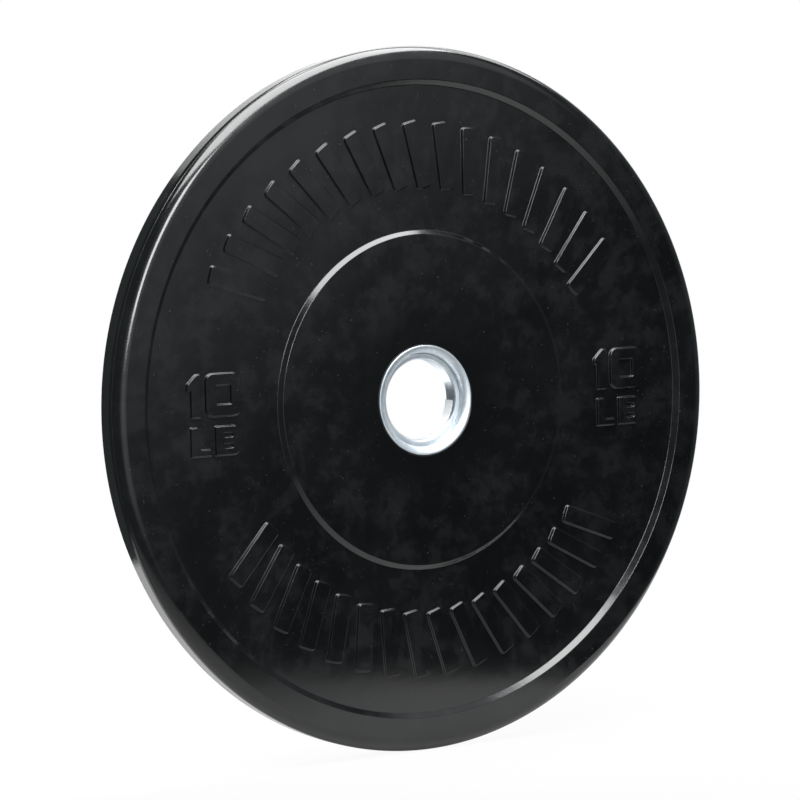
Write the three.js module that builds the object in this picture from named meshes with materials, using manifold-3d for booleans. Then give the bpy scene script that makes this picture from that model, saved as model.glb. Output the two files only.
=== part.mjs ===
// A bumper plate for a barbell: a moulded rubber disc on a steel hub, standing up like a wheel.
// Lengths are in millimetres. +Z is up, the axle runs along Y and the front face looks along -Y.

import * as THREE from 'three';
import { mergeVertices } from 'three/addons/utils/BufferGeometryUtils.js';
import Module from 'manifold-3d';

const wasm = await Module();
wasm.setup();

// Clearances
const fitGap = 0.3; // between pieces that are pressed or moulded together
const rootDepth = 1; // how deep a raised mark is rooted in the web
const rootSink = 0.05; // how far a mark's drafted side starts below the web

// Rubber disc
const overallDiameter = 450;
const rimWidth = 22; // over the two ring faces
const treadWidth = 9.6; // flat band between the two mould lines
const shoulderRadius = 9;
const ringBand = 21.3; // from the tread to the ring's inner edge
const ringStepRun = 3.8;
const webDepth = 3; // from the ring face down to the web
const ringEdgeRound = 3;
const webCornerRound = 2;
const bossDiameter = 211.4;
const bossStepRun = 2.6;
const bossHeight = 2.4; // from the web up to the boss face
const bossEdgeRound = 1.5;
const seatEdgeRound = 0.6;

// Steel hub
const boreDiameter = 52;
const sleeveWall = 3.5;
const boreChamfer = 0.9;
const hubDiameter = 70;
const mouthDepth = 5.3; // from the hub face down to the sleeve's end
const flareRadius = 5.5; // of the rounded mouth that leads the bar in
const lipWidth = 0.7;
const lipBevel = 0.3;

// Anchor flange inside the rubber
const flangeDiameter = 120;
const flangeThickness = 2.5;
const flangeHoleCount = 8;
const flangeHoleShare = 0.48; // of the flange's width outside the collars

// Paper label in the bore
const labelThickness = 0.2;
const labelWidth = 8;
const labelLength = 26;
const labelSetback = 3; // from the sleeve's front end
const labelStartAngle = -4; // degrees from the horizontal, on the right of the bore

// Raised marks, all the same height
const markHeight = 1.5;
const markDraftRun = 1.1;

// Grip bars in two arcs, above and below the hub
const barLength = 44;
const barWidth = 12.5;
const barCorner = 2.5;
const barLean = 14; // degrees from the radius
const barMidRadius = 156;
const barPitch = 7.4; // degrees
const topBarCount = 17;
const bottomBarCount = 16;

// Weight mark: a plain 10 with its unit below it, left and right of the hub
const markCentreRadius = 154;
const markLineGap = 5;
const digitHeight = 27.5;
const digitGap = 2.2;
const oneWidth = 11;
const oneStem = 8.2;
const oneFlagDrop = 6.5;
const oneFlagDepth = 4.5;
const zeroWidth = 26.3;
const zeroCorner = 6;
const zeroStroke = 8.4;
const unitHeight = 19;
const unitGap = 2.2;
const lWidth = 15.2;
const lStem = 6.8;
const lFoot = 5.2;
const bWidth = 18;
const bCornerCut = 2.6;
const bStem = 6.6;
const bSlotHeight = 1.3;
const bSlotLength = 5.4;

// Facets
const discSegments = 72;
const hubSegments = 48;
const holeSegments = 16;
const roundSteps = 2;
const shoulderSteps = 4;
const flareSteps = 5;
const labelSteps = 10;

// Places that follow from the sizes above
const discRadius = overallDiameter / 2;
const ringHalf = rimWidth / 2;
const treadHalf = treadWidth / 2;
const webHalf = ringHalf - webDepth;
const bossHalf = webHalf + bossHeight;
const ringInnerRadius = discRadius - ringBand;
const bossRadius = bossDiameter / 2;
const boreRadius = boreDiameter / 2;
const sleeveRadius = boreRadius + sleeveWall;
const sleeveHalf = ringHalf - mouthDepth;
const hubRadius = hubDiameter / 2;
const collarBoreRadius = sleeveRadius + fitGap;
const flangeRadius = flangeDiameter / 2;
const flangeHalf = flangeThickness / 2;
const flangeBand = flangeRadius - hubRadius;
const flangeHoleRadius = (flangeBand * flangeHoleShare) / 2;
const flangeHoleCentre = hubRadius + flangeBand / 2;
const collarFoot = flangeHalf + fitGap;

const rubber = new THREE.MeshStandardMaterial({ color: 0x1d1e20, roughness: 0.48, metalness: 0 });
const steel = new THREE.MeshStandardMaterial({ color: 0xc9ced6, roughness: 0.16, metalness: 1 });
const castSteel = new THREE.MeshStandardMaterial({ color: 0x8d9094, roughness: 0.5, metalness: 1 });
const paper = new THREE.MeshStandardMaterial({ color: 0xf1f2f3, roughness: 0.75, metalness: 0 });

// Closed solids and back

function solidFrom(geometry) {
  geometry.deleteAttribute('normal');
  geometry.deleteAttribute('uv');
  const merged = mergeVertices(geometry);
  const vertProperties = merged.attributes.position.array;
  const triVerts = Uint32Array.from(merged.index.array);
  return new wasm.Manifold(new wasm.Mesh({ numProp: 3, vertProperties, triVerts }));
}

function meshFrom(solid, name, material) {
  const { vertProperties, triVerts } = solid.getMesh();
  const geometry = new THREE.BufferGeometry();
  geometry.setAttribute('position', new THREE.BufferAttribute(vertProperties.slice(), 3));
  geometry.setIndex(new THREE.BufferAttribute(triVerts.slice(), 1));
  geometry.computeVertexNormals();
  const mesh = new THREE.Mesh(geometry, material);
  mesh.name = name;
  return mesh;
}

// Turned shapes: a closed outline of [radius, place along the axle], anticlockwise

function turned(outline, segments) {
  const points = [...outline, outline[0]].map(([radius, along]) => new THREE.Vector2(radius, along));
  return solidFrom(new THREE.LatheGeometry(points, segments));
}

const mirrored = (outline) => outline.map(([radius, along]) => [radius, -along]).reverse();

// Points on the round that replaces a corner of an outline
function cornerRound([before, corner, after], radius) {
  const at = new THREE.Vector2(...corner);
  const back = new THREE.Vector2(...before).sub(at);
  const ahead = new THREE.Vector2(...after).sub(at);
  const halfAngle = Math.acos(back.dot(ahead) / back.length() / ahead.length()) / 2;
  const reach = Math.min(radius / Math.tan(halfAngle), back.length() / 2, ahead.length() / 2);
  const start = back.clone().setLength(reach).add(at);
  const end = ahead.clone().setLength(reach).add(at);
  const curve = new THREE.QuadraticBezierCurve(start, at, end);
  return curve.getPoints(roundSteps).map((point) => point.toArray());
}

// Points on an arc of the given radius from one point to another, bulging to the right of the way
function arcBetween(from, to, radius, steps) {
  const start = new THREE.Vector2(...from);
  const chord = new THREE.Vector2(...to).sub(start);
  const half = chord.length() / 2;
  const toCentre = new THREE.Vector2(-chord.y, chord.x).setLength(Math.sqrt(radius ** 2 - half ** 2));
  const centre = start.clone().addScaledVector(chord, 1 / 2).add(toCentre);
  const sweep = 2 * Math.asin(half / radius);
  const points = [];
  for (let step = 0; step <= steps; step += 1) {
    const point = start.clone().rotateAround(centre, (sweep * step) / steps);
    points.push(point.toArray());
  }
  return points;
}

// Rubber disc: outline of the back half, from the mould line inwards to the flange's slot

function discHalfOutline() {
  const shoulderRise = shoulderRadius - (ringHalf - treadHalf);
  const shoulderReach = Math.sqrt(shoulderRadius ** 2 - shoulderRise ** 2);
  const mouldLine = [discRadius, treadHalf];
  const shoulderTop = [discRadius - shoulderReach, ringHalf];
  const ringEdge = [ringInnerRadius, ringHalf];
  const ringFoot = [ringInnerRadius - ringStepRun, webHalf];
  const bossFoot = [bossRadius + bossStepRun, webHalf];
  const bossEdge = [bossRadius, bossHalf];
  const seatMouth = [hubRadius + fitGap, bossHalf];
  const seatEnd = [hubRadius + fitGap, flangeHalf + fitGap];
  const slotEnd = [flangeRadius + fitGap, flangeHalf + fitGap];
  return [
    ...arcBetween(mouldLine, shoulderTop, shoulderRadius, shoulderSteps),
    ...cornerRound([shoulderTop, ringEdge, ringFoot], ringEdgeRound),
    ...cornerRound([ringEdge, ringFoot, bossFoot], webCornerRound),
    ...cornerRound([ringFoot, bossFoot, bossEdge], webCornerRound),
    ...cornerRound([bossFoot, bossEdge, seatMouth], bossEdgeRound),
    ...cornerRound([bossEdge, seatMouth, seatEnd], seatEdgeRound),
    seatEnd,
    slotEnd,
  ];
}

// A rod along the axle's direction, at a place on the disc
function axialRod(radius, length, x, z) {
  const rod = new THREE.CylinderGeometry(radius, radius, length, holeSegments);
  return solidFrom(rod.translate(x, 0, z));
}

function flangeHoles(radius, length) {
  const holes = [];
  for (let index = 0; index < flangeHoleCount; index += 1) {
    const angle = (2 * Math.PI * index) / flangeHoleCount;
    const x = flangeHoleCentre * Math.cos(angle);
    const z = flangeHoleCentre * Math.sin(angle);
    holes.push(axialRod(radius, length, x, z));
  }
  return holes;
}

// Raised marks: flat outlines, x to the right and y up as seen from in front of the face

function slotOutline(left, bottom, width, height) {
  const slot = new THREE.Path();
  slot.moveTo(left, bottom);
  slot.lineTo(left, bottom + height);
  slot.lineTo(left + width, bottom + height);
  slot.lineTo(left + width, bottom);
  return slot;
}

function barShape() {
  const bar = new THREE.Shape();
  const right = barWidth / 2;
  const top = barLength / 2;
  bar.moveTo(barCorner - right, -top);
  bar.lineTo(right - barCorner, -top);
  bar.lineTo(right, barCorner - top);
  bar.lineTo(right, top - barCorner);
  bar.lineTo(right - barCorner, top);
  bar.lineTo(barCorner - right, top);
  bar.lineTo(-right, top - barCorner);
  bar.lineTo(-right, barCorner - top);
  return bar;
}

function oneShape() {
  const one = new THREE.Shape();
  const stemLeft = oneWidth - oneStem;
  one.moveTo(stemLeft, 0);
  one.lineTo(oneWidth, 0);
  one.lineTo(oneWidth, digitHeight);
  one.lineTo(oneWidth - oneStem / 2, digitHeight);
  one.lineTo(0, digitHeight - oneFlagDrop);
  one.lineTo(0, digitHeight - oneFlagDrop - oneFlagDepth);
  one.lineTo(stemLeft, digitHeight - oneFlagDrop - oneFlagDepth);
  return one;
}

function zeroShape() {
  const zero = new THREE.Shape();
  const low = zeroCorner;
  const right = zeroWidth - zeroCorner;
  const high = digitHeight - zeroCorner;
  zero.absarc(low, low, zeroCorner, Math.PI, (3 * Math.PI) / 2, false);
  zero.absarc(right, low, zeroCorner, -Math.PI / 2, 0, false);
  zero.absarc(right, high, zeroCorner, 0, Math.PI / 2, false);
  zero.absarc(low, high, zeroCorner, Math.PI / 2, Math.PI, false);
  const innerWidth = zeroWidth - 2 * zeroStroke;
  const innerHeight = digitHeight - 2 * zeroStroke;
  zero.holes.push(slotOutline(zeroStroke, zeroStroke, innerWidth, innerHeight));
  return zero;
}

function lShape() {
  const letter = new THREE.Shape();
  letter.moveTo(0, 0);
  letter.lineTo(lWidth, 0);
  letter.lineTo(lWidth, lFoot);
  letter.lineTo(lStem, lFoot);
  letter.lineTo(lStem, unitHeight);
  letter.lineTo(0, unitHeight);
  return letter;
}

function bShape() {
  const letter = new THREE.Shape();
  const waist = unitHeight / 2;
  const cutLeft = bWidth - bCornerCut;
  letter.moveTo(0, 0);
  letter.lineTo(cutLeft, 0);
  letter.lineTo(bWidth, bCornerCut);
  letter.lineTo(bWidth, waist - bCornerCut / 2);
  letter.lineTo(bWidth - bCornerCut / 2, waist);
  letter.lineTo(bWidth, waist + bCornerCut / 2);
  letter.lineTo(bWidth, unitHeight - bCornerCut);
  letter.lineTo(cutLeft, unitHeight);
  letter.lineTo(0, unitHeight);
  const stroke = (unitHeight - 2 * bSlotHeight) / 3;
  letter.holes.push(slotOutline(bStem, stroke, bSlotLength, bSlotHeight));
  letter.holes.push(slotOutline(bStem, 2 * stroke + bSlotHeight, bSlotLength, bSlotHeight));
  return letter;
}

// A mark with drafted sides, lying in the XY plane with its foot at the height of the web
function raised(shape) {
  const geometry = new THREE.ExtrudeGeometry(shape, {
    depth: rootDepth,
    bevelThickness: markHeight,
    bevelSize: markDraftRun,
    bevelOffset: -markDraftRun,
    bevelSegments: 1,
    curveSegments: roundSteps,
  });
  return geometry.translate(0, 0, -rootDepth - rootSink);
}

function gripBars(count, middleAngle) {
  const bars = [];
  for (let index = 0; index < count; index += 1) {
    const turn = middleAngle + (index - (count - 1) / 2) * barPitch;
    const bar = raised(barShape());
    bar.rotateZ(THREE.MathUtils.degToRad(barLean));
    bar.translate(0, barMidRadius, 0);
    bars.push(bar.rotateZ(THREE.MathUtils.degToRad(turn)));
  }
  return bars;
}

function weightMark(centreX) {
  const digitsWidth = oneWidth + digitGap + zeroWidth;
  const unitWidth = lWidth + unitGap + bWidth;
  const blockHeight = digitHeight + markLineGap + unitHeight;
  const digitsLeft = centreX - digitsWidth / 2;
  const unitLeft = centreX - unitWidth / 2;
  const unitBottom = -blockHeight / 2;
  const digitsBottom = unitBottom + unitHeight + markLineGap;
  return [
    raised(oneShape()).translate(digitsLeft, digitsBottom, 0),
    raised(zeroShape()).translate(digitsLeft + oneWidth + digitGap, digitsBottom, 0),
    raised(lShape()).translate(unitLeft, unitBottom, 0),
    raised(bShape()).translate(unitLeft + lWidth + unitGap, unitBottom, 0),
  ];
}

// Stands a face's marks up on the front of the web, or on the back of it
function faceMarks(back) {
  const marks = [
    ...gripBars(topBarCount, 0),
    ...gripBars(bottomBarCount, 180),
    ...weightMark(-markCentreRadius),
    ...weightMark(markCentreRadius),
  ];
  for (const mark of marks) {
    mark.rotateX(Math.PI / 2).translate(0, -webHalf, 0);
    if (back) mark.rotateZ(Math.PI);
  }
  return marks.map(solidFrom);
}

function rubberBody() {
  const half = discHalfOutline();
  let body = turned([...mirrored(half), ...half], discSegments);
  const postRadius = flangeHoleRadius - fitGap;
  for (const post of flangeHoles(postRadius, flangeThickness + 4 * fitGap)) body = body.add(post);
  for (const mark of [...faceMarks(false), ...faceMarks(true)]) body = body.add(mark);
  return meshFrom(body, 'rubber_body', rubber);
}

// Steel hub

function hubSleeve() {
  const half = [
    [sleeveRadius, sleeveHalf],
    [boreRadius + boreChamfer, sleeveHalf],
    [boreRadius, sleeveHalf - boreChamfer],
  ];
  return meshFrom(turned([...mirrored(half), ...half], hubSegments), 'hub_sleeve', steel);
}

function collarOutline() {
  const flareTop = [hubRadius - lipBevel - lipWidth, ringHalf];
  const flareFoot = [collarBoreRadius, sleeveHalf];
  return [
    [hubRadius, collarFoot],
    [hubRadius, ringHalf - lipBevel],
    [hubRadius - lipBevel, ringHalf],
    ...arcBetween(flareTop, flareFoot, flareRadius, flareSteps),
    [collarBoreRadius, collarFoot],
  ];
}

function anchorFlange() {
  const half = [
    [flangeRadius, flangeHalf],
    [collarBoreRadius, flangeHalf],
  ];
  let flange = turned([...mirrored(half), ...half], hubSegments);
  for (const hole of flangeHoles(flangeHoleRadius, 2 * flangeThickness)) flange = flange.subtract(hole);
  return meshFrom(flange, 'anchor_flange', castSteel);
}

// Paper label on the bore's wall, at the lower right as seen from the front

function boreLabel() {
  const outer = boreRadius - fitGap;
  const inner = outer - labelThickness;
  const start = THREE.MathUtils.degToRad(labelStartAngle);
  const end = start - labelLength / outer;
  const band = new THREE.Shape();
  band.absarc(0, 0, outer, end, start, false);
  band.absarc(0, 0, inner, start, end, true);
  const strip = new THREE.ExtrudeGeometry(band, {
    depth: labelWidth,
    bevelEnabled: false,
    curveSegments: labelSteps / 2,
  });
  strip.rotateX(Math.PI / 2).translate(0, labelSetback + labelWidth - sleeveHalf, 0);
  return meshFrom(solidFrom(strip), 'bore_label', paper);
}

const bumperPlate = new THREE.Group();
bumperPlate.add(rubberBody());
bumperPlate.add(anchorFlange());
bumperPlate.add(hubSleeve());
bumperPlate.add(meshFrom(turned(mirrored(collarOutline()), hubSegments), 'front_collar', steel));
bumperPlate.add(meshFrom(turned(collarOutline(), hubSegments), 'rear_collar', steel));
bumperPlate.add(boreLabel());

export default bumperPlate;
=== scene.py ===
import math

import bmesh
import bpy
from mathutils import Matrix, Vector


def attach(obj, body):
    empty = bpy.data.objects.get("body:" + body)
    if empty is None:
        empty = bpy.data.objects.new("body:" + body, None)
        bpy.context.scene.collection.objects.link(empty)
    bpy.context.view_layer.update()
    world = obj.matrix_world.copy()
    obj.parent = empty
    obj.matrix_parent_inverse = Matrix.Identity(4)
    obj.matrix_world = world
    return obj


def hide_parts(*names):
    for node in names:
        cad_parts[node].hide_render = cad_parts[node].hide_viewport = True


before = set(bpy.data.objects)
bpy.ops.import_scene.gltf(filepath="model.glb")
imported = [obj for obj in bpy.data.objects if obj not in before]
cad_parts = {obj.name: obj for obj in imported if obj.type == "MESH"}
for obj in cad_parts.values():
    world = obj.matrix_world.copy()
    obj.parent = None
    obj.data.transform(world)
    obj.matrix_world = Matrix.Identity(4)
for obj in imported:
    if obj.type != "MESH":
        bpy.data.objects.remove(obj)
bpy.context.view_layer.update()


# The disc: dense black rubber, pressed and cured in a three-part mould. The mould leaves a fine
# seam on each shoulder, a flat ring and a stepped centre boss on both faces. Its seat grips the
# steel collars, and a slot inside it is filled by the hub's flange.

disc_radius = 0.225
ring_face = 0.011
tread_edge = 0.0048
tread_margin = 0.0005
shoulder_radius = 0.009
shoulder_drop = ring_face - shoulder_radius
shoulder_start = math.asin((tread_edge - shoulder_drop) / shoulder_radius)
shoulder_middle = disc_radius - shoulder_radius * math.cos(shoulder_start)
seam_place = math.radians(32)
seam_width = 0.0005
seam_depth = 0.00018
ring_inner = 0.2036
web_outer = 0.2003
web_face = 0.008
boss_foot = 0.1083
boss_radius = 0.1057
boss_face = 0.0104
seat_radius = 0.0353
slot_radius = 0.0603
slot_face = 0.00155
step_rounding = 0.00025
seat_rounding = 0.0006
disc_steps = 288
outer_shoulder_steps = 3
inner_shoulder_steps = 14
edge_segments = 3
seat_segments = 4
merge_distance = 1e-6
corner_tolerance = 2e-5
flat_face_limit = 0.9999
smooth_edge_limit = math.radians(36)


def line_on(section, start, *points):
    """Draws a section on from a corner, through points of (radius, place along the axle)."""
    for radius, along in points:
        end = section.verts.new((radius, along, 0))
        section.edges.new((start, end))
        start = end
    return start


def curve_on(section, start, centre, angle, steps):
    """Carries a section on round a centre, and gives the corner where it ends."""
    swept = bmesh.ops.spin(
        section, geom=[start], cent=(*centre, 0), axis=(0, 0, 1), angle=angle, steps=steps
    )
    return next(item for item in swept["geom_last"] if isinstance(item, bmesh.types.BMVert))


def turn_on_axle(section, steps):
    """Turns a section, drawn to the right of the axle, into a closed ring."""
    bmesh.ops.spin(
        section,
        geom=section.verts[:] + section.edges[:],
        cent=(0, 0, 0),
        axis=(0, 1, 0),
        angle=math.tau,
        steps=steps,
        use_merge=True,
    )
    bmesh.ops.remove_doubles(section, verts=section.verts[:], dist=merge_distance)
    bmesh.ops.recalc_face_normals(section, faces=section.faces[:])


def soften_corner(ring, radius, along, setback, segments):
    """Rounds the edge that runs round the ring at a radius, on both faces."""

    def on_corner(vert):
        off_radius = abs(math.hypot(vert.co.x, vert.co.z) - radius)
        off_face = abs(abs(vert.co.y) - along)
        return off_radius < corner_tolerance and off_face < corner_tolerance

    bmesh.ops.bevel(
        ring,
        geom=[edge for edge in ring.edges if all(on_corner(vert) for vert in edge.verts)],
        offset=setback,
        segments=segments,
        profile=0.5,
        affect="EDGES",
        material=-1,
        clamp_overlap=True,
    )


def finished_piece(shape, name, node, material):
    """Makes a shape the piece that stands for a node. Flat faces and sharp edges stay so."""
    for face in shape.faces:
        face.smooth = abs(face.normal.y) < flat_face_limit
    for edge in shape.edges:
        edge.smooth = edge.calc_face_angle(0) < smooth_edge_limit
    mesh = bpy.data.meshes.new(name)
    shape.to_mesh(mesh)
    shape.free()
    piece = bpy.data.objects.new(name, mesh)
    bpy.context.scene.collection.objects.link(piece)
    mesh.materials.append(material)
    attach(piece, "root")
    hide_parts(node)


class Signal:
    """A value on its way through a material. Arithmetic on it adds Math nodes."""

    def __init__(self, socket):
        self.socket = socket

    def node(self, kind, settings, inputs, output=0):
        """Adds a node: first its settings, then the values or links of its sockets."""
        tree = self.socket.id_data
        made = tree.nodes.new(kind)
        for setting, value in settings.items():
            setattr(made, setting, value)
        for socket, value in inputs.items():
            if isinstance(value, Signal):
                tree.links.new(value.socket, made.inputs[socket])
            else:
                made.inputs[socket].default_value = value
        return Signal(made.outputs[output])

    def calculate(self, operation, *values):
        return self.node("ShaderNodeMath", {"operation": operation}, dict(enumerate(values)))

    def __add__(self, other):
        return self.calculate("ADD", self, other)

    def __mul__(self, other):
        return self.calculate("MULTIPLY", self, other)

    def __pow__(self, other):
        return self.calculate("POWER", self, other)

    def __rpow__(self, other):
        return self.calculate("POWER", other, self)

    __radd__ = __add__
    __rmul__ = __mul__

    def split(self):
        """The three parts of a place or direction: to the right, along the axle and up."""
        parts = self.node("ShaderNodeSeparateXYZ", {}, {0: self}).socket.node.outputs
        return [Signal(part) for part in parts]

    def from_point(self, point):
        """The distance, in metres, from a point."""
        sockets = {0: self, 1: point}
        return self.node("ShaderNodeVectorMath", {"operation": "DISTANCE"}, sockets, "Value")

    def noise(self, scale, detail=2.0, roughness=0.5):
        """Soft random values from 0 to 1, with about scale of them in a metre."""
        sockets = {"Vector": self, "Scale": scale, "Detail": detail, "Roughness": roughness}
        return self.node("ShaderNodeTexNoise", {}, sockets)

    def between(self, low, high, from_value=0.0, to_value=1.0):
        """Goes smoothly from one value to another as the signal goes from low to high."""
        sockets = {0: self, 1: low, 2: high, 3: from_value, 4: to_value}
        return self.node("ShaderNodeMapRange", {"interpolation_type": "SMOOTHSTEP"}, sockets)

    def blend(self, first, second):
        """A colour that goes from the first to the second as the signal goes from 0 to 1."""
        sockets = {"Factor": self, "A": first, "B": second}
        return self.node("ShaderNodeMix", {"data_type": "RGBA"}, sockets, "Result")

    def relief(self, height, under=None):
        """A surface normal for bumps of the given height, in metres, on top of another."""
        sockets = {"Height": self, "Distance": height}
        if under is not None:
            sockets["Normal"] = under
        return self.node("ShaderNodeBump", {}, sockets)


def new_finish(name, **settings):
    """A material with fixed settings, and the signal that says where on the object a point is."""
    material = bpy.data.materials.new(name)
    material.use_nodes = True
    shader = material.node_tree.nodes["Principled BSDF"]
    for socket, value in settings.items():
        shader.inputs[socket.replace("_", " ")].default_value = value
    place = material.node_tree.nodes.new("ShaderNodeTexCoord")
    return material, Signal(place.outputs["Object"])


def apply_signals(material, **signals):
    """Lets signals drive the shader's sockets of the same names."""
    shader = material.node_tree.nodes["Principled BSDF"]
    for socket, signal in signals.items():
        material.node_tree.links.new(signal.socket, shader.inputs[socket.replace("_", " ")])


# Black rubber, semi-gloss from the mould's polished steel. It is clouded where it has been handled,
# most of all in one scuff near the top, and clean by the hub, with a fine grain, a few specks of
# dust and a faint waviness from the cure.
clean_black = (0.0016, 0.0019, 0.0020, 1)
hazed_black = (0.0050, 0.0056, 0.0059, 1)
dust_grey = (0.075, 0.078, 0.080, 1)
dust_cover = 0.5
cloud_share = 0.35
smudge_share = 0.65
scuff_place = (-0.098, -0.011, 0.174)
scuff_reach = (0.020, 0.065)
scuff_haze = 0.6
hub_front = (0, -0.010, 0)
clean_reach = (0.036, 0.075)
moulded_roughness = 0.115
haze_roughness = 0.06
wave_height = 0.00012
grain_height = 0.000012

black_rubber, spot = new_finish("black_rubber", IOR=1.6)
cloud = spot.noise(scale=14.0, detail=5.0, roughness=0.62).between(0.35, 0.68)
smudge = spot.noise(scale=55.0, detail=7.0, roughness=0.70).between(0.45, 0.62)
scuff = spot.from_point(scuff_place).between(*scuff_reach, 1.0, 0.0)
handled = spot.from_point(hub_front).between(*clean_reach)
clouded = cloud * cloud_share + smudge * smudge_share
haze = clouded * handled + scuff * (cloud * scuff_haze + scuff_haze)
dust = spot.noise(scale=700.0, detail=1.0).between(0.755, 0.81)
rubber_tone = haze.blend(clean_black, hazed_black)
wave = spot.noise(scale=30.0).relief(wave_height)
apply_signals(
    black_rubber,
    Base_Color=(dust * dust_cover).blend(rubber_tone, dust_grey),
    Roughness=haze * haze_roughness + moulded_roughness,
    Normal=spot.noise(scale=2600.0).relief(grain_height, wave),
)

shoulder_centre = Vector((shoulder_middle, shoulder_drop))
half_seam = seam_width / shoulder_radius / 2
seam_out = Vector((math.cos(seam_place), math.sin(seam_place)))
seam_end = Vector((math.cos(seam_place + half_seam), math.sin(seam_place + half_seam)))
outer_sweep = seam_place - half_seam - shoulder_start
inner_sweep = math.pi / 2 - seam_place - half_seam

disc = bmesh.new()
tread_middle = disc.verts.new((disc_radius, 0, 0))
tread_end = line_on(
    disc, tread_middle, (disc_radius, tread_edge - tread_margin), (disc_radius, tread_edge)
)
seam_foot = curve_on(disc, tread_end, shoulder_centre, outer_sweep, outer_shoulder_steps)
seam_top = line_on(
    disc,
    seam_foot,
    shoulder_centre + seam_out * (shoulder_radius - seam_depth),
    shoulder_centre + seam_end * shoulder_radius,
)
ring_outer = curve_on(disc, seam_top, shoulder_centre, inner_sweep, inner_shoulder_steps)
line_on(
    disc,
    ring_outer,
    (ring_inner, ring_face),
    (web_outer, web_face),
    (boss_foot, web_face),
    (boss_radius, boss_face),
    (seat_radius, boss_face),
    (seat_radius, slot_face),
    (slot_radius, slot_face),
    (slot_radius, 0),
)
half = disc.verts[:] + disc.edges[:]
bmesh.ops.mirror(disc, geom=half, axis="Y", merge_dist=merge_distance)
turn_on_axle(disc, disc_steps)
for edge_radius, edge_face in (
    (ring_inner, ring_face),
    (web_outer, web_face),
    (boss_foot, web_face),
    (boss_radius, boss_face),
):
    soften_corner(disc, edge_radius, edge_face, step_rounding, edge_segments)
soften_corner(disc, seat_radius, boss_face, seat_rounding, seat_segments)


# Raised marks: moulded in one with the disc on both faces, 1.5 mm high with soft drafted sides.
# Plain grip bars lean in two arcs above and below the hub, and the weight stands to the left
# and right of it.

mark_root = 0.001
# A mark's side goes in and rises by these steps, from the web up.
mark_sides = [
    (0.00025, 0.00010),
    (0.00018, 0.00025),
    (0.00012, 0.00040),
    (0.00012, 0.00040),
    (0.00018, 0.00025),
    (0.00025, 0.00010),
]
bar_length = 0.044
bar_width = 0.0125
bar_corner = 0.0025
bar_lean = math.radians(14)
bar_radius = 0.156
bar_pitch = math.radians(7.4)
bar_arcs = [(17, 0.0), (16, math.pi)]

# The weight's outlines are drawn from the lower left corner of each digit or letter.
weight_place = 0.154
digit_bottom = -0.00175
digit_height = 0.0275
one_left = -0.01975
one_outline = [
    (0.0028, 0),
    (0.0110, 0),
    (0.0110, digit_height),
    (0.0069, digit_height),
    (0, 0.0210),
    (0, 0.0165),
    (0.0028, 0.0165),
]
zero_left = -0.00655
zero_width = 0.0263
zero_stroke = 0.0084
zero_corner = 0.0055
unit_bottom = -0.02575
unit_height = 0.019
l_left = -0.0177
l_width = 0.0152
l_stem = 0.0068
l_foot = 0.0052
l_outline = [
    (0, 0),
    (l_width, 0),
    (l_width, l_foot),
    (l_stem, l_foot),
    (l_stem, unit_height),
    (0, unit_height),
]
b_left = -0.0003
b_width = 0.0180
b_flat = 0.0154
b_outline = [
    (0, 0),
    (b_flat, 0),
    (b_width, 0.0026),
    (b_width, 0.0082),
    (0.0167, 0.0095),
    (b_width, 0.0108),
    (b_width, 0.0164),
    (b_flat, unit_height),
    (0, unit_height),
]
b_slot_corners = [(0.0066, 0.00547), (0.0066, 0.01223)]
b_slot_size = (0.0054, 0.0013)
letter_corner = 0.0012
hole_corner = 0.0003
corner_segments = 4
shortest_side_in_corners = 3
upright = Matrix.Rotation(math.pi / 2, 4, "X")


def rectangle(left, bottom, width, height):
    right, top = left + width, bottom + height
    return [(left, bottom), (right, bottom), (right, top), (left, top)]


def draw_outline(shape, points, corner):
    """A flat outline, rounded at the corners whose sides are long enough."""
    corners = [shape.verts.new((across, up, 0)) for across, up in points]
    shape.faces.new(corners)
    shortest = shortest_side_in_corners * corner
    bmesh.ops.bevel(
        shape,
        geom=[
            vert
            for vert in corners
            if min(edge.calc_length() for edge in vert.link_edges) > shortest
        ],
        offset=corner,
        segments=corner_segments,
        profile=0.5,
        affect="VERTICES",
        material=-1,
    )


def flat_shape(points, corner, holes=()):
    """A flat shape filled in from its outline, open where its holes are."""
    shape = bmesh.new()
    draw_outline(shape, points, corner)
    for hole in holes:
        draw_outline(shape, hole, hole_corner)
    if holes:
        bmesh.ops.delete(shape, geom=shape.faces[:], context="FACES_ONLY")
        bmesh.ops.triangle_fill(shape, edges=shape.edges[:], use_beauty=True)
    return shape


def raise_mark(shape, place):
    """Gives a flat shape its drafted sides and stands it on the disc, rooted in the web."""
    top = bmesh.ops.extrude_face_region(shape, geom=shape.faces[:])
    lifted = [item for item in top["geom"] if isinstance(item, bmesh.types.BMVert)]
    bmesh.ops.translate(shape, verts=lifted, vec=(0, 0, mark_root))
    faces = [item for item in top["geom"] if isinstance(item, bmesh.types.BMFace)]
    bmesh.ops.recalc_face_normals(shape, faces=shape.faces[:])
    shape.normal_update()
    for inward, rise in mark_sides:
        bmesh.ops.inset_region(
            shape,
            faces=faces,
            thickness=inward,
            depth=rise,
            use_boundary=True,
            use_even_offset=True,
        )
    bmesh.ops.translate(shape, verts=shape.verts[:], vec=(0, 0, -mark_root))
    bmesh.ops.transform(shape, matrix=place, verts=shape.verts[:])
    stamped = bpy.data.meshes.new("mark")
    shape.to_mesh(stamped)
    disc.from_mesh(stamped)
    shape.free()
    bpy.data.meshes.remove(stamped)


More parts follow.
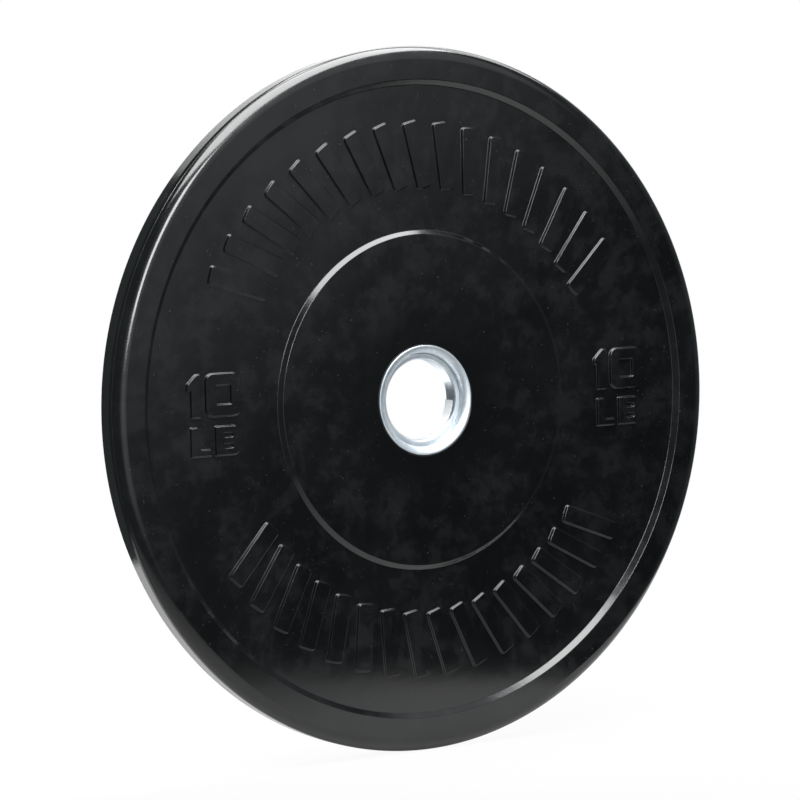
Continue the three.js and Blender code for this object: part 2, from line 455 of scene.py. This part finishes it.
bar_outline = rectangle(-bar_width / 2, -bar_length / 2, bar_width, bar_length)
bar_place = Matrix.Translation((0, bar_radius, 0)) @ Matrix.Rotation(bar_lean, 4, "Z")
zero_outline = rectangle(0, 0, zero_width, digit_height)
zero_hole_size = (zero_width - 2 * zero_stroke, digit_height - 2 * zero_stroke)
zero_hole = rectangle(zero_stroke, zero_stroke, *zero_hole_size)
b_slots = [rectangle(*slot_corner, *b_slot_size) for slot_corner in b_slot_corners]

# Each digit and letter: its outline, corner rounding and holes, and where it stands.
weight_mark = [
    (one_outline, letter_corner, [], one_left, digit_bottom),
    (zero_outline, zero_corner, [zero_hole], zero_left, digit_bottom),
    (l_outline, letter_corner, [], l_left, unit_bottom),
    (b_outline, letter_corner, b_slots, b_left, unit_bottom),
]

for face_turn in (0, math.pi):
    on_face = Matrix.Rotation(face_turn, 4, "Z") @ Matrix.Translation((0, -web_face, 0)) @ upright
    for count, middle in bar_arcs:
        for index in range(count):
            turn = Matrix.Rotation(middle + (index - (count - 1) / 2) * bar_pitch, 4, "Z")
            raise_mark(flat_shape(bar_outline, bar_corner), on_face @ turn @ bar_place)
    for side in (-weight_place, weight_place):
        for outline, corner, holes, left, bottom in weight_mark:
            place = on_face @ Matrix.Translation((side + left, bottom, 0))
            raise_mark(flat_shape(outline, corner, holes), place)

finished_piece(disc, "rubber_disc", "rubber_body", black_rubber)


# The hub: a turned steel sleeve with a rounded collar pressed over each end, bright zinc plated.
# The collars clamp the flange in the rubber between them, and their mouths lead the bar in.

bore_radius = 0.026
bore_chamfer = 0.0009
sleeve_radius = 0.0295
sleeve_end = 0.0057
sleeve_rounding = 0.0001
ledge_slope = 0.0004
collar_radius = 0.035
collar_bore = 0.02968
collar_foot = 0.00155
lip_rounding = 0.0003
flare_start = 0.034
flare_slope = math.radians(14)
flare_curves = [(0.0075, math.radians(38)), (0.003, math.radians(82))]
flare_steps = 10
hub_steps = 192
sleeve_segments = 2
dull_zinc = (0.62, 0.68, 0.73, 1)
bright_zinc = (0.74, 0.79, 0.82, 1)
bore_roughness = 0.20
bore_polish_edge = (bore_radius + 0.0001, bore_radius + 0.0007)
ring_roughness = 0.10
stain_roughness = 0.08


def turned_steel(name, ring_height, ring_scale, face_roughness):
    """Zinc-plated steel with the fine rings that a lathe leaves, smoother in the bore."""
    material, spot = new_finish(name, Metallic=1.0)
    across, along, up = spot.split()
    radius = (across * across + up * up) ** 0.5
    section_place = spot.node("ShaderNodeCombineXYZ", {}, {"X": radius, "Y": along, "Z": 0.0})
    ring = section_place.noise(ring_scale, detail=3.0, roughness=0.6)
    stain = spot.noise(scale=90.0, detail=4.0, roughness=0.6)
    polish = radius.between(*bore_polish_edge, bore_roughness, face_roughness)
    apply_signals(
        material,
        Base_Color=stain.between(0.35, 0.7).blend(dull_zinc, bright_zinc),
        Roughness=ring * ring_roughness + stain * stain_roughness + polish,
        Normal=ring.relief(ring_height),
    )
    return material


collar_steel = turned_steel("collar_steel", 0.000030, ring_scale=1500.0, face_roughness=0.38)
sleeve_steel = turned_steel("sleeve_steel", 0.000080, ring_scale=2200.0, face_roughness=0.36)

for side, name in ((-1, "front"), (1, "rear")):
    lip_face = ring_face * side
    collar = bmesh.new()
    foot = collar.verts.new((collar_radius, collar_foot * side, 0))
    flare = line_on(collar, foot, (collar_radius, lip_face), (flare_start, lip_face))
    slope = flare_slope
    # The flare steepens along two curves, each with its own radius.
    for curve_radius, next_slope in flare_curves:
        inward = Vector((math.sin(slope), -math.cos(slope) * side, 0))
        centre = flare.co + inward * curve_radius
        flare = curve_on(collar, flare, centre.xy, (next_slope - slope) * side, flare_steps)
        slope = next_slope
    mouth_end = (collar_bore, sleeve_end * side)
    inner = line_on(collar, flare, mouth_end, (collar_bore, collar_foot * side))
    collar.edges.new((inner, foot))
    turn_on_axle(collar, hub_steps)
    soften_corner(collar, collar_radius, ring_face, lip_rounding, edge_segments)
    finished_piece(collar, f"{name}_flared_collar", f"{name}_collar", collar_steel)

sleeve = bmesh.new()
line_on(
    sleeve,
    sleeve.verts.new((sleeve_radius, 0, 0)),
    (sleeve_radius, sleeve_end),
    (bore_radius + bore_chamfer, sleeve_end - ledge_slope),
    (bore_radius, sleeve_end - ledge_slope - bore_chamfer),
    (bore_radius, 0),
)
half = sleeve.verts[:] + sleeve.edges[:]
bmesh.ops.mirror(sleeve, geom=half, axis="Y", merge_dist=merge_distance)
turn_on_axle(sleeve, hub_steps)
soften_corner(sleeve, sleeve_radius, sleeve_end, sleeve_rounding, sleeve_segments)
finished_piece(sleeve, "turned_sleeve", "hub_sleeve", sleeve_steel)


# The anchor flange: a stamped steel ring inside the rubber, clamped by the collars. The rubber
# runs through its eight holes. It is the modelled node itself, in bare mill-finished steel.

mill_dark = (0.30, 0.31, 0.32, 1)
mill_bright = (0.44, 0.45, 0.46, 1)
mill_roughness = 0.42
rolled_roughness = 0.2
mill_grain_height = 0.00002

mill_steel, spot = new_finish("mill_steel", Metallic=1.0)
rolled_mark = spot.noise(scale=220.0, detail=4.0).between(0.4, 0.65)
apply_signals(
    mill_steel,
    Base_Color=rolled_mark.blend(mill_dark, mill_bright),
    Roughness=rolled_mark * rolled_roughness + mill_roughness,
    Normal=spot.noise(scale=1600.0, detail=3.0).relief(mill_grain_height),
)
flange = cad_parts["anchor_flange"]
flange.data.materials.clear()
flange.data.materials.append(mill_steel)


# The label: a plain white film strip, cut square and stuck to the lower right of the bore's wall,
# a little way in from the mouth.

label_outer = 0.02592
label_thickness = 0.0002
label_front = -0.0027
label_back = 0.0053
label_start = math.radians(-4)
label_sweep = math.radians(58)
label_steps = 40
film_shade = (0.80, 0.82, 0.84, 1)
film_white = (0.90, 0.91, 0.92, 1)
film_roughness = 0.42
fibre_roughness = 0.15
fibre_height = 0.000015

white_film, spot = new_finish("white_film", Coat_Weight=0.25)
fibre = spot.noise(scale=1400.0, detail=3.0)
apply_signals(
    white_film,
    Base_Color=fibre.blend(film_shade, film_white),
    Roughness=fibre * fibre_roughness + film_roughness,
    Normal=fibre.relief(fibre_height),
)

label = bmesh.new()
label_inner = label_outer - label_thickness
end_corners = [
    (label_inner, label_front),
    (label_outer, label_front),
    (label_outer, label_back),
    (label_inner, label_back),
]
end_face = label.faces.new([label.verts.new((radius, along, 0)) for radius, along in end_corners])
start_turn = Matrix.Rotation(-label_start, 4, "Y")
bmesh.ops.transform(label, matrix=start_turn, verts=label.verts[:])
bmesh.ops.spin(
    label,
    geom=[*label.verts, *label.edges, end_face],
    cent=(0, 0, 0),
    axis=(0, 1, 0),
    angle=label_sweep,
    steps=label_steps,
)
bmesh.ops.recalc_face_normals(label, faces=label.faces[:])
finished_piece(label, "film_label", "bore_label", white_film)


# The studio: a white paper floor and backdrop turned to the camera, that the plate stands on, with
# soft panels overhead, in front and behind. The dark rubber shows all of them as reflections.

camera_azimuth = math.radians(-33.15)
view_turn = math.pi / 2 + camera_azimuth
floor_height = -disc_radius
paper_front = -0.32
paper_back = 0.60
floor_left = -0.40
floor_right_front = 0.25
floor_right_back = 0.43
backdrop_left = -0.50
backdrop_right = 0.43
backdrop_top = 0.60
pure_white = (1, 1, 1, 1)


def grey(level):
    return (level, level, level, 1)


def lamp(name, azimuth, elevation, distance, width, height, radiance, turn=0):
    """A soft panel facing the plate, turned on itself. Azimuth 0 is straight ahead of the face."""
    light = bpy.data.lights.new(name, "AREA")
    light.shape = "RECTANGLE"
    light.size = width
    light.size_y = height
    light.energy = radiance * math.pi * width * height
    across, up = math.radians(azimuth), math.radians(elevation)
    level = math.cos(up)
    towards = Vector((math.sin(across) * level, -math.cos(across) * level, math.sin(up)))
    holder = bpy.data.objects.new(name, light)
    holder.location = towards * distance
    facing = towards.to_track_quat("Z", "Y").to_matrix()
    holder.rotation_euler = (facing @ Matrix.Rotation(math.radians(turn), 3, "Z")).to_euler()
    bpy.context.scene.collection.objects.link(holder)
    holder.visible_camera = False


lamp(
    "overhead_panel",
    azimuth=11,
    elevation=75.5,
    distance=1.93,
    width=1.62,
    height=2.65,
    radiance=10.5,
    turn=-48,
)
lamp(
    "front_strip", azimuth=-4.5, elevation=18, distance=2.2, width=0.5, height=1.0, radiance=14.5
)
lamp("rear_panel", azimuth=125, elevation=50, distance=2.0, width=1.7, height=0.9, radiance=3.4)
lamp("paper_glow", azimuth=160, elevation=29, distance=0.64, width=0.80, height=0.86, radiance=1.1)

# The paper's colour holds painted light and shade: painted shade towards the camera, in front of
# the plate and to its right, and a painted pool of light behind the plate's left side, brightest
# low down. The camera sees it as white, with a share of its own shade that keeps the plate's
# shadow, and sees through it from below.
paper_painted_shade_near = grey(0.07)
paper_painted_shade_side = grey(0.34)
paper_painted_light_pool = grey(0.86)
shadow_reach = (0.25, 0.50)
white_by_plate = 0.94
white_in_mirrors = 0.2

white_paper, spot = new_finish("white_paper", Roughness=0.9)
across, along, up = spot.split()
# Painted pool of light behind the plate, to its left and low down; painted shade elsewhere.
behind = along.between(-0.04, 0.10)
leftward = across.between(-0.06, 0.16, 1.0, 0.0)
low_down = up.between(0.0, 0.5, 1.0, 0.5)
far_paper_painted_light_and_shade = (behind * leftward * low_down).blend(paper_painted_shade_side, paper_painted_light_pool)
# Painted shade on the part of the paper towards the camera.
from_camera = across * math.cos(view_turn) + along * math.sin(view_turn)
far_side = from_camera.between(-0.32, -0.06)
apply_signals(white_paper, Base_Color=far_side.blend(paper_painted_shade_near, far_paper_painted_light_and_shade))
tree = white_paper.node_tree
rays = tree.nodes.new("ShaderNodeLightPath")
seen = Signal(rays.outputs["Is Camera Ray"])
mirrored = Signal(rays.outputs["Is Glossy Ray"])
through = Signal(rays.outputs["Is Transmission Ray"])
past_plate = spot.from_point((0, 0, 0)).between(*shadow_reach, white_by_plate, 1.0)
white_share = seen * past_plate + mirrored * white_in_mirrors + through
white = seen.node("ShaderNodeEmission", {}, {"Color": pure_white, "Strength": 1.0})
painted = Signal(tree.nodes["Principled BSDF"].outputs["BSDF"])
upper = seen.node("ShaderNodeMixShader", {}, {0: white_share, 1: painted, 2: white})
clear = seen.node("ShaderNodeBsdfTransparent", {}, {"Color": pure_white})
underside = seen.node("ShaderNodeNewGeometry", {}, {}, "Backfacing")
surface = seen.node("ShaderNodeMixShader", {}, {0: underside * seen, 1: upper, 2: clear})
tree.links.new(surface.socket, tree.nodes["Material Output"].inputs["Surface"])


def lay_paper(name, corners):
    """A flat sheet, with its corners given as (away from the camera, up, to the right)."""
    sheet = bmesh.new()
    sheet.faces.new([sheet.verts.new(corner) for corner in corners])
    across_view = Matrix.Rotation(view_turn, 4, "Z") @ upright
    bmesh.ops.transform(sheet, matrix=across_view, verts=sheet.verts[:])
    sheet_mesh = bpy.data.meshes.new(name)
    sheet.to_mesh(sheet_mesh)
    sheet.free()
    sheet_mesh.materials.append(white_paper)
    paper = bpy.data.objects.new(name, sheet_mesh)
    bpy.context.scene.collection.objects.link(paper)
    return paper


lay_paper(
    "paper_floor",
    [
        (paper_front, floor_height, floor_left),
        (paper_front, floor_height, floor_right_front),
        (paper_back, floor_height, floor_right_back),
        (paper_back, floor_height, floor_left),
    ],
)
backdrop = lay_paper(
    "paper_backdrop",
    [
        (paper_back, floor_height, backdrop_left),
        (paper_back, floor_height, backdrop_right),
        (paper_back, backdrop_top, backdrop_right),
        (paper_back, backdrop_top, backdrop_left),
    ],
)
backdrop.visible_camera = False

# The room round the paper has grey walls, darker on the right, and daylight spills in from high
# in front. The camera sees it as white.
wall_grey = (0.133, 0.150, 0.158, 1)
shaded_grey = (0.031, 0.036, 0.039, 1)
spill_light = (0.71, 0.75, 0.78, 1)
spill_from = (-0.135, -0.742, 0.657)

world = bpy.data.worlds.new("studio_world")
bpy.context.scene.world = world
world.use_nodes = True
tree = world.node_tree
tree.nodes.clear()
rays = tree.nodes.new("ShaderNodeLightPath")
seen = Signal(rays.outputs["Is Camera Ray"])
through = Signal(rays.outputs["Is Transmission Ray"])
sky = seen.node("ShaderNodeTexCoord", {}, {}, "Generated")
across, along, up = sky.split()
darker_right = across.between(-0.4, 0.3) * across.between(0.62, 0.90, 1.0, 0.0)
walls = darker_right.blend(wall_grey, shaded_grey)
spill_sockets = {0: sky, 1: spill_from}
spill = sky.node("ShaderNodeVectorMath", {"operation": "DOT_PRODUCT"}, spill_sockets, "Value")
spilled = spill.between(0.505, 0.62) * across.between(-0.5, -0.1)
room = spilled.blend(walls, spill_light)
dim = seen.node("ShaderNodeBackground", {}, {"Color": room, "Strength": 1.0})
white = seen.node("ShaderNodeBackground", {}, {"Color": pure_white, "Strength": 1.0})
surface = seen.node("ShaderNodeMixShader", {}, {0: seen + through, 1: dim, 2: white})
output = tree.nodes.new("ShaderNodeOutputWorld")
tree.links.new(surface.socket, output.inputs["Surface"])


# The camera: a long lens, nearly level with the hub, that looks at the front face from its left.
# Its place and its slight roll are worked back from how the plate stands before it.

plate_roll = math.radians(3.4)
plate_tilt = math.radians(-2.39)
plate_from_camera = (0.0105, 0.0004, -2.1744)

lens = bpy.data.cameras.new("photo_camera")
lens.sensor_width = 36
lens.lens = 153
camera = bpy.data.objects.new("photo_camera", lens)
bpy.context.scene.collection.objects.link(camera)
camera.matrix_world = (
    Matrix.Rotation(plate_roll, 4, "Y")
    @ Matrix.Rotation(plate_tilt, 4, "X")
    @ Matrix.Rotation(camera_azimuth, 4, "Z")
    @ upright
    @ Matrix.Translation(-Vector(plate_from_camera))
)
bpy.context.scene.camera = camera
bpy.context.scene.view_settings.view_transform = "Standard"
